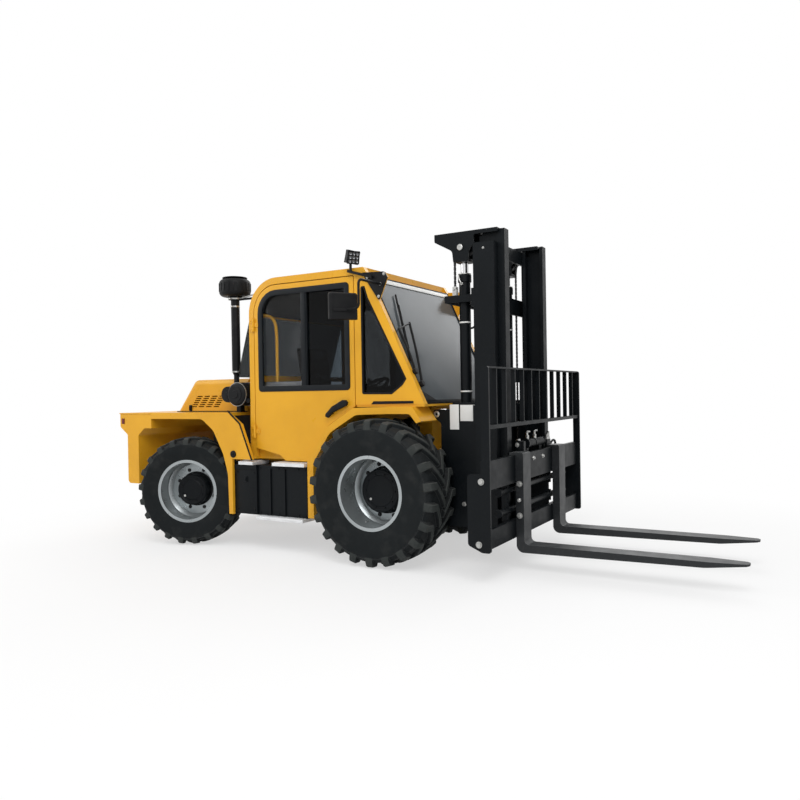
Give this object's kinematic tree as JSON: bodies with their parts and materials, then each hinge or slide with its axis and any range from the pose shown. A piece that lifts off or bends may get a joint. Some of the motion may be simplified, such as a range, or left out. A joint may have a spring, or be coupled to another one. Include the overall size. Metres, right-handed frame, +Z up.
{
  "type": "rough terrain forklift",
  "caption": "Yellow four wheel drive rough terrain forklift with closed cab, two stage black mast, wide fork carriage with backrest and steered rear wheels.",
  "frame": {"origin": "centre of the footprint box at ground level", "axes": "+X forward along the forks, +Y to the left, +Z up"},
  "size_m": [6.033, 2.5218, 2.805],
  "materials": {
    "body_yellow": "gloss industrial yellow paint, lightly dusty",
    "mast_black": "satin blue black paint, worn on sliding faces",
    "engine_grey": "dull dark casting",
    "bright_steel": "polished hard chrome rod",
    "chain_steel": "oiled dark leaf chain",
    "step_aluminium": "scuffed aluminium",
    "tyre_rubber": "dark grey rubber, slightly dusty",
    "rim_silver": "silver grey wheel paint",
    "tinted_glass": "grey tinted safety glass",
    "screen_glass": "mid grey windscreen, light band along the top",
    "black_plastic": "matt black moulded plastic and powder coat",
    "seat_vinyl": "black grained vinyl"
  },
  "bodies": {
    "chassis": {"frame": "body_yellow", "front_axle": "mast_black", "rear_axle": "mast_black", "engine": "engine_grey", "counterweight": "body_yellow", "rear_fenders": "body_yellow", "front_fenders": "body_yellow", "side_tanks": "mast_black", "steps": "step_aluminium", "cab_base": "body_yellow", "cab_frame": "body_yellow", "cab_roof": "body_yellow", "windscreen": "screen_glass", "cab_glass": "tinted_glass", "seat": "seat_vinyl", "controls": "black_plastic", "air_intake": "black_plastic", "lamps": "black_plastic", "mirrors": "black_plastic"},
    "wheel_front_right": {"front_tyre_right": "tyre_rubber", "front_wheel_right": "rim_silver"},
    "wheel_front_left": {"front_tyre_left": "tyre_rubber", "front_wheel_left": "rim_silver"},
    "steer_right": {"knuckle_right": "mast_black"},
    "steer_left": {"knuckle_left": "mast_black"},
    "wheel_rear_right": {"rear_tyre_right": "tyre_rubber", "rear_wheel_right": "rim_silver"},
    "wheel_rear_left": {"rear_tyre_left": "tyre_rubber", "rear_wheel_left": "rim_silver"},
    "door_r": {"door_right": "body_yellow", "door_glass_right": "tinted_glass"},
    "door_l": {"door_left": "body_yellow", "door_glass_left": "tinted_glass"},
    "hood_lid": {"hood": "body_yellow"},
    "mast_base": {"mast_outer": "mast_black", "lift_cylinders": "mast_black"},
    "mast_slide": {"mast_inner": "mast_black", "lift_rods": "bright_steel", "lift_chains": "chain_steel"},
    "lift_carriage": {"carriage": "mast_black"},
    "fork_unit": {"fork_frame": "mast_black", "backrest": "mast_black", "forks": "mast_black"},
    "tilt_barrel_pair": {"tilt_barrels": "mast_black"},
    "tilt_rod_pair": {"tilt_rods": "bright_steel"}
  },
  "joints": [
    {"name": "front_right_roll", "type": "hinge", "parent": "chassis", "child": "wheel_front_right", "pos_m": [0.1805, -0.806, 0.625], "axis": [0, 1, 0], "continuous": true},
    {"name": "front_left_roll", "type": "hinge", "parent": "chassis", "child": "wheel_front_left", "pos_m": [0.1805, 0.806, 0.625], "axis": [0, 1, 0], "continuous": true},
    {"name": "steer_right_pin", "type": "hinge", "parent": "chassis", "child": "steer_right", "pos_m": [-2.0795, -0.64, 0.53], "axis": [0, 0, 1], "range_deg": [-55, 15]},
    {"name": "steer_left_pin", "type": "hinge", "parent": "chassis", "child": "steer_left", "pos_m": [-2.0795, 0.64, 0.53], "axis": [0, 0, 1], "range_deg": [-55, 15]},
    {"name": "rear_right_roll", "type": "hinge", "parent": "steer_right", "child": "wheel_rear_right", "pos_m": [-2.00768, -0.83734, 0.53], "axis": [-0.342, 0.9397, 0], "continuous": true},
    {"name": "rear_left_roll", "type": "hinge", "parent": "steer_left", "child": "wheel_rear_left", "pos_m": [-2.15132, 0.83734, 0.53], "axis": [-0.342, 0.9397, 0], "continuous": true},
    {"name": "door_right_hinge", "type": "hinge", "parent": "chassis", "child": "door_r", "pos_m": [-1.2135, -0.814, 1.6], "axis": [0, 0, -1], "range_deg": [0, 90]},
    {"name": "door_left_hinge", "type": "hinge", "parent": "chassis", "child": "door_l", "pos_m": [-1.2135, 0.814, 1.6], "axis": [0, 0, 1], "range_deg": [0, 90]},
    {"name": "hood_hinge", "type": "hinge", "parent": "chassis", "child": "hood_lid", "pos_m": [-1.4765, 0, 1.654], "axis": [0, 1, 0], "range_deg": [0, 60]},
    {"name": "mast_tilt", "type": "hinge", "parent": "chassis", "child": "mast_base", "pos_m": [0.6805, 0, 0.56], "axis": [0, 1, 0], "range_deg": [-8, 10]},
    {"name": "mast_lift", "type": "slide", "parent": "mast_base", "child": "mast_slide", "axis": [0, 0, 1], "range_m": [-0.07, 1.9]},
    {"name": "carriage_lift", "type": "slide", "parent": "mast_slide", "child": "lift_carriage", "axis": [0, 0, 1], "range_m": [-0.07, 1.9]},
    {"name": "fork_shift", "type": "slide", "parent": "lift_carriage", "child": "fork_unit", "axis": [0, 1, 0], "range_m": [-0.1, 0.1]},
    {"name": "tilt_barrel_pin", "type": "hinge", "parent": "chassis", "child": "tilt_barrel_pair", "pos_m": [-0.0995, 0, 1.085], "axis": [0, 1, 0], "range_deg": [-1.36, 1.69]},
    {"name": "tilt_rod_slide", "type": "slide", "parent": "tilt_barrel_pair", "child": "tilt_rod_pair", "axis": [0.9651, 0, 0.262], "range_m": [-0.09927, 0.12397]}
  ],
  "couplings": [
    {"joint": "steer_left_pin", "follows": "steer_right_pin", "ratio": 1},
    {"joint": "carriage_lift", "follows": "mast_lift", "ratio": 1},
    {"joint": "tilt_barrel_pin", "follows": "mast_tilt", "ratio": 0.16372},
    {"joint": "tilt_rod_slide", "follows": "mast_tilt", "m_per_rad": 0.70742}
  ]
}
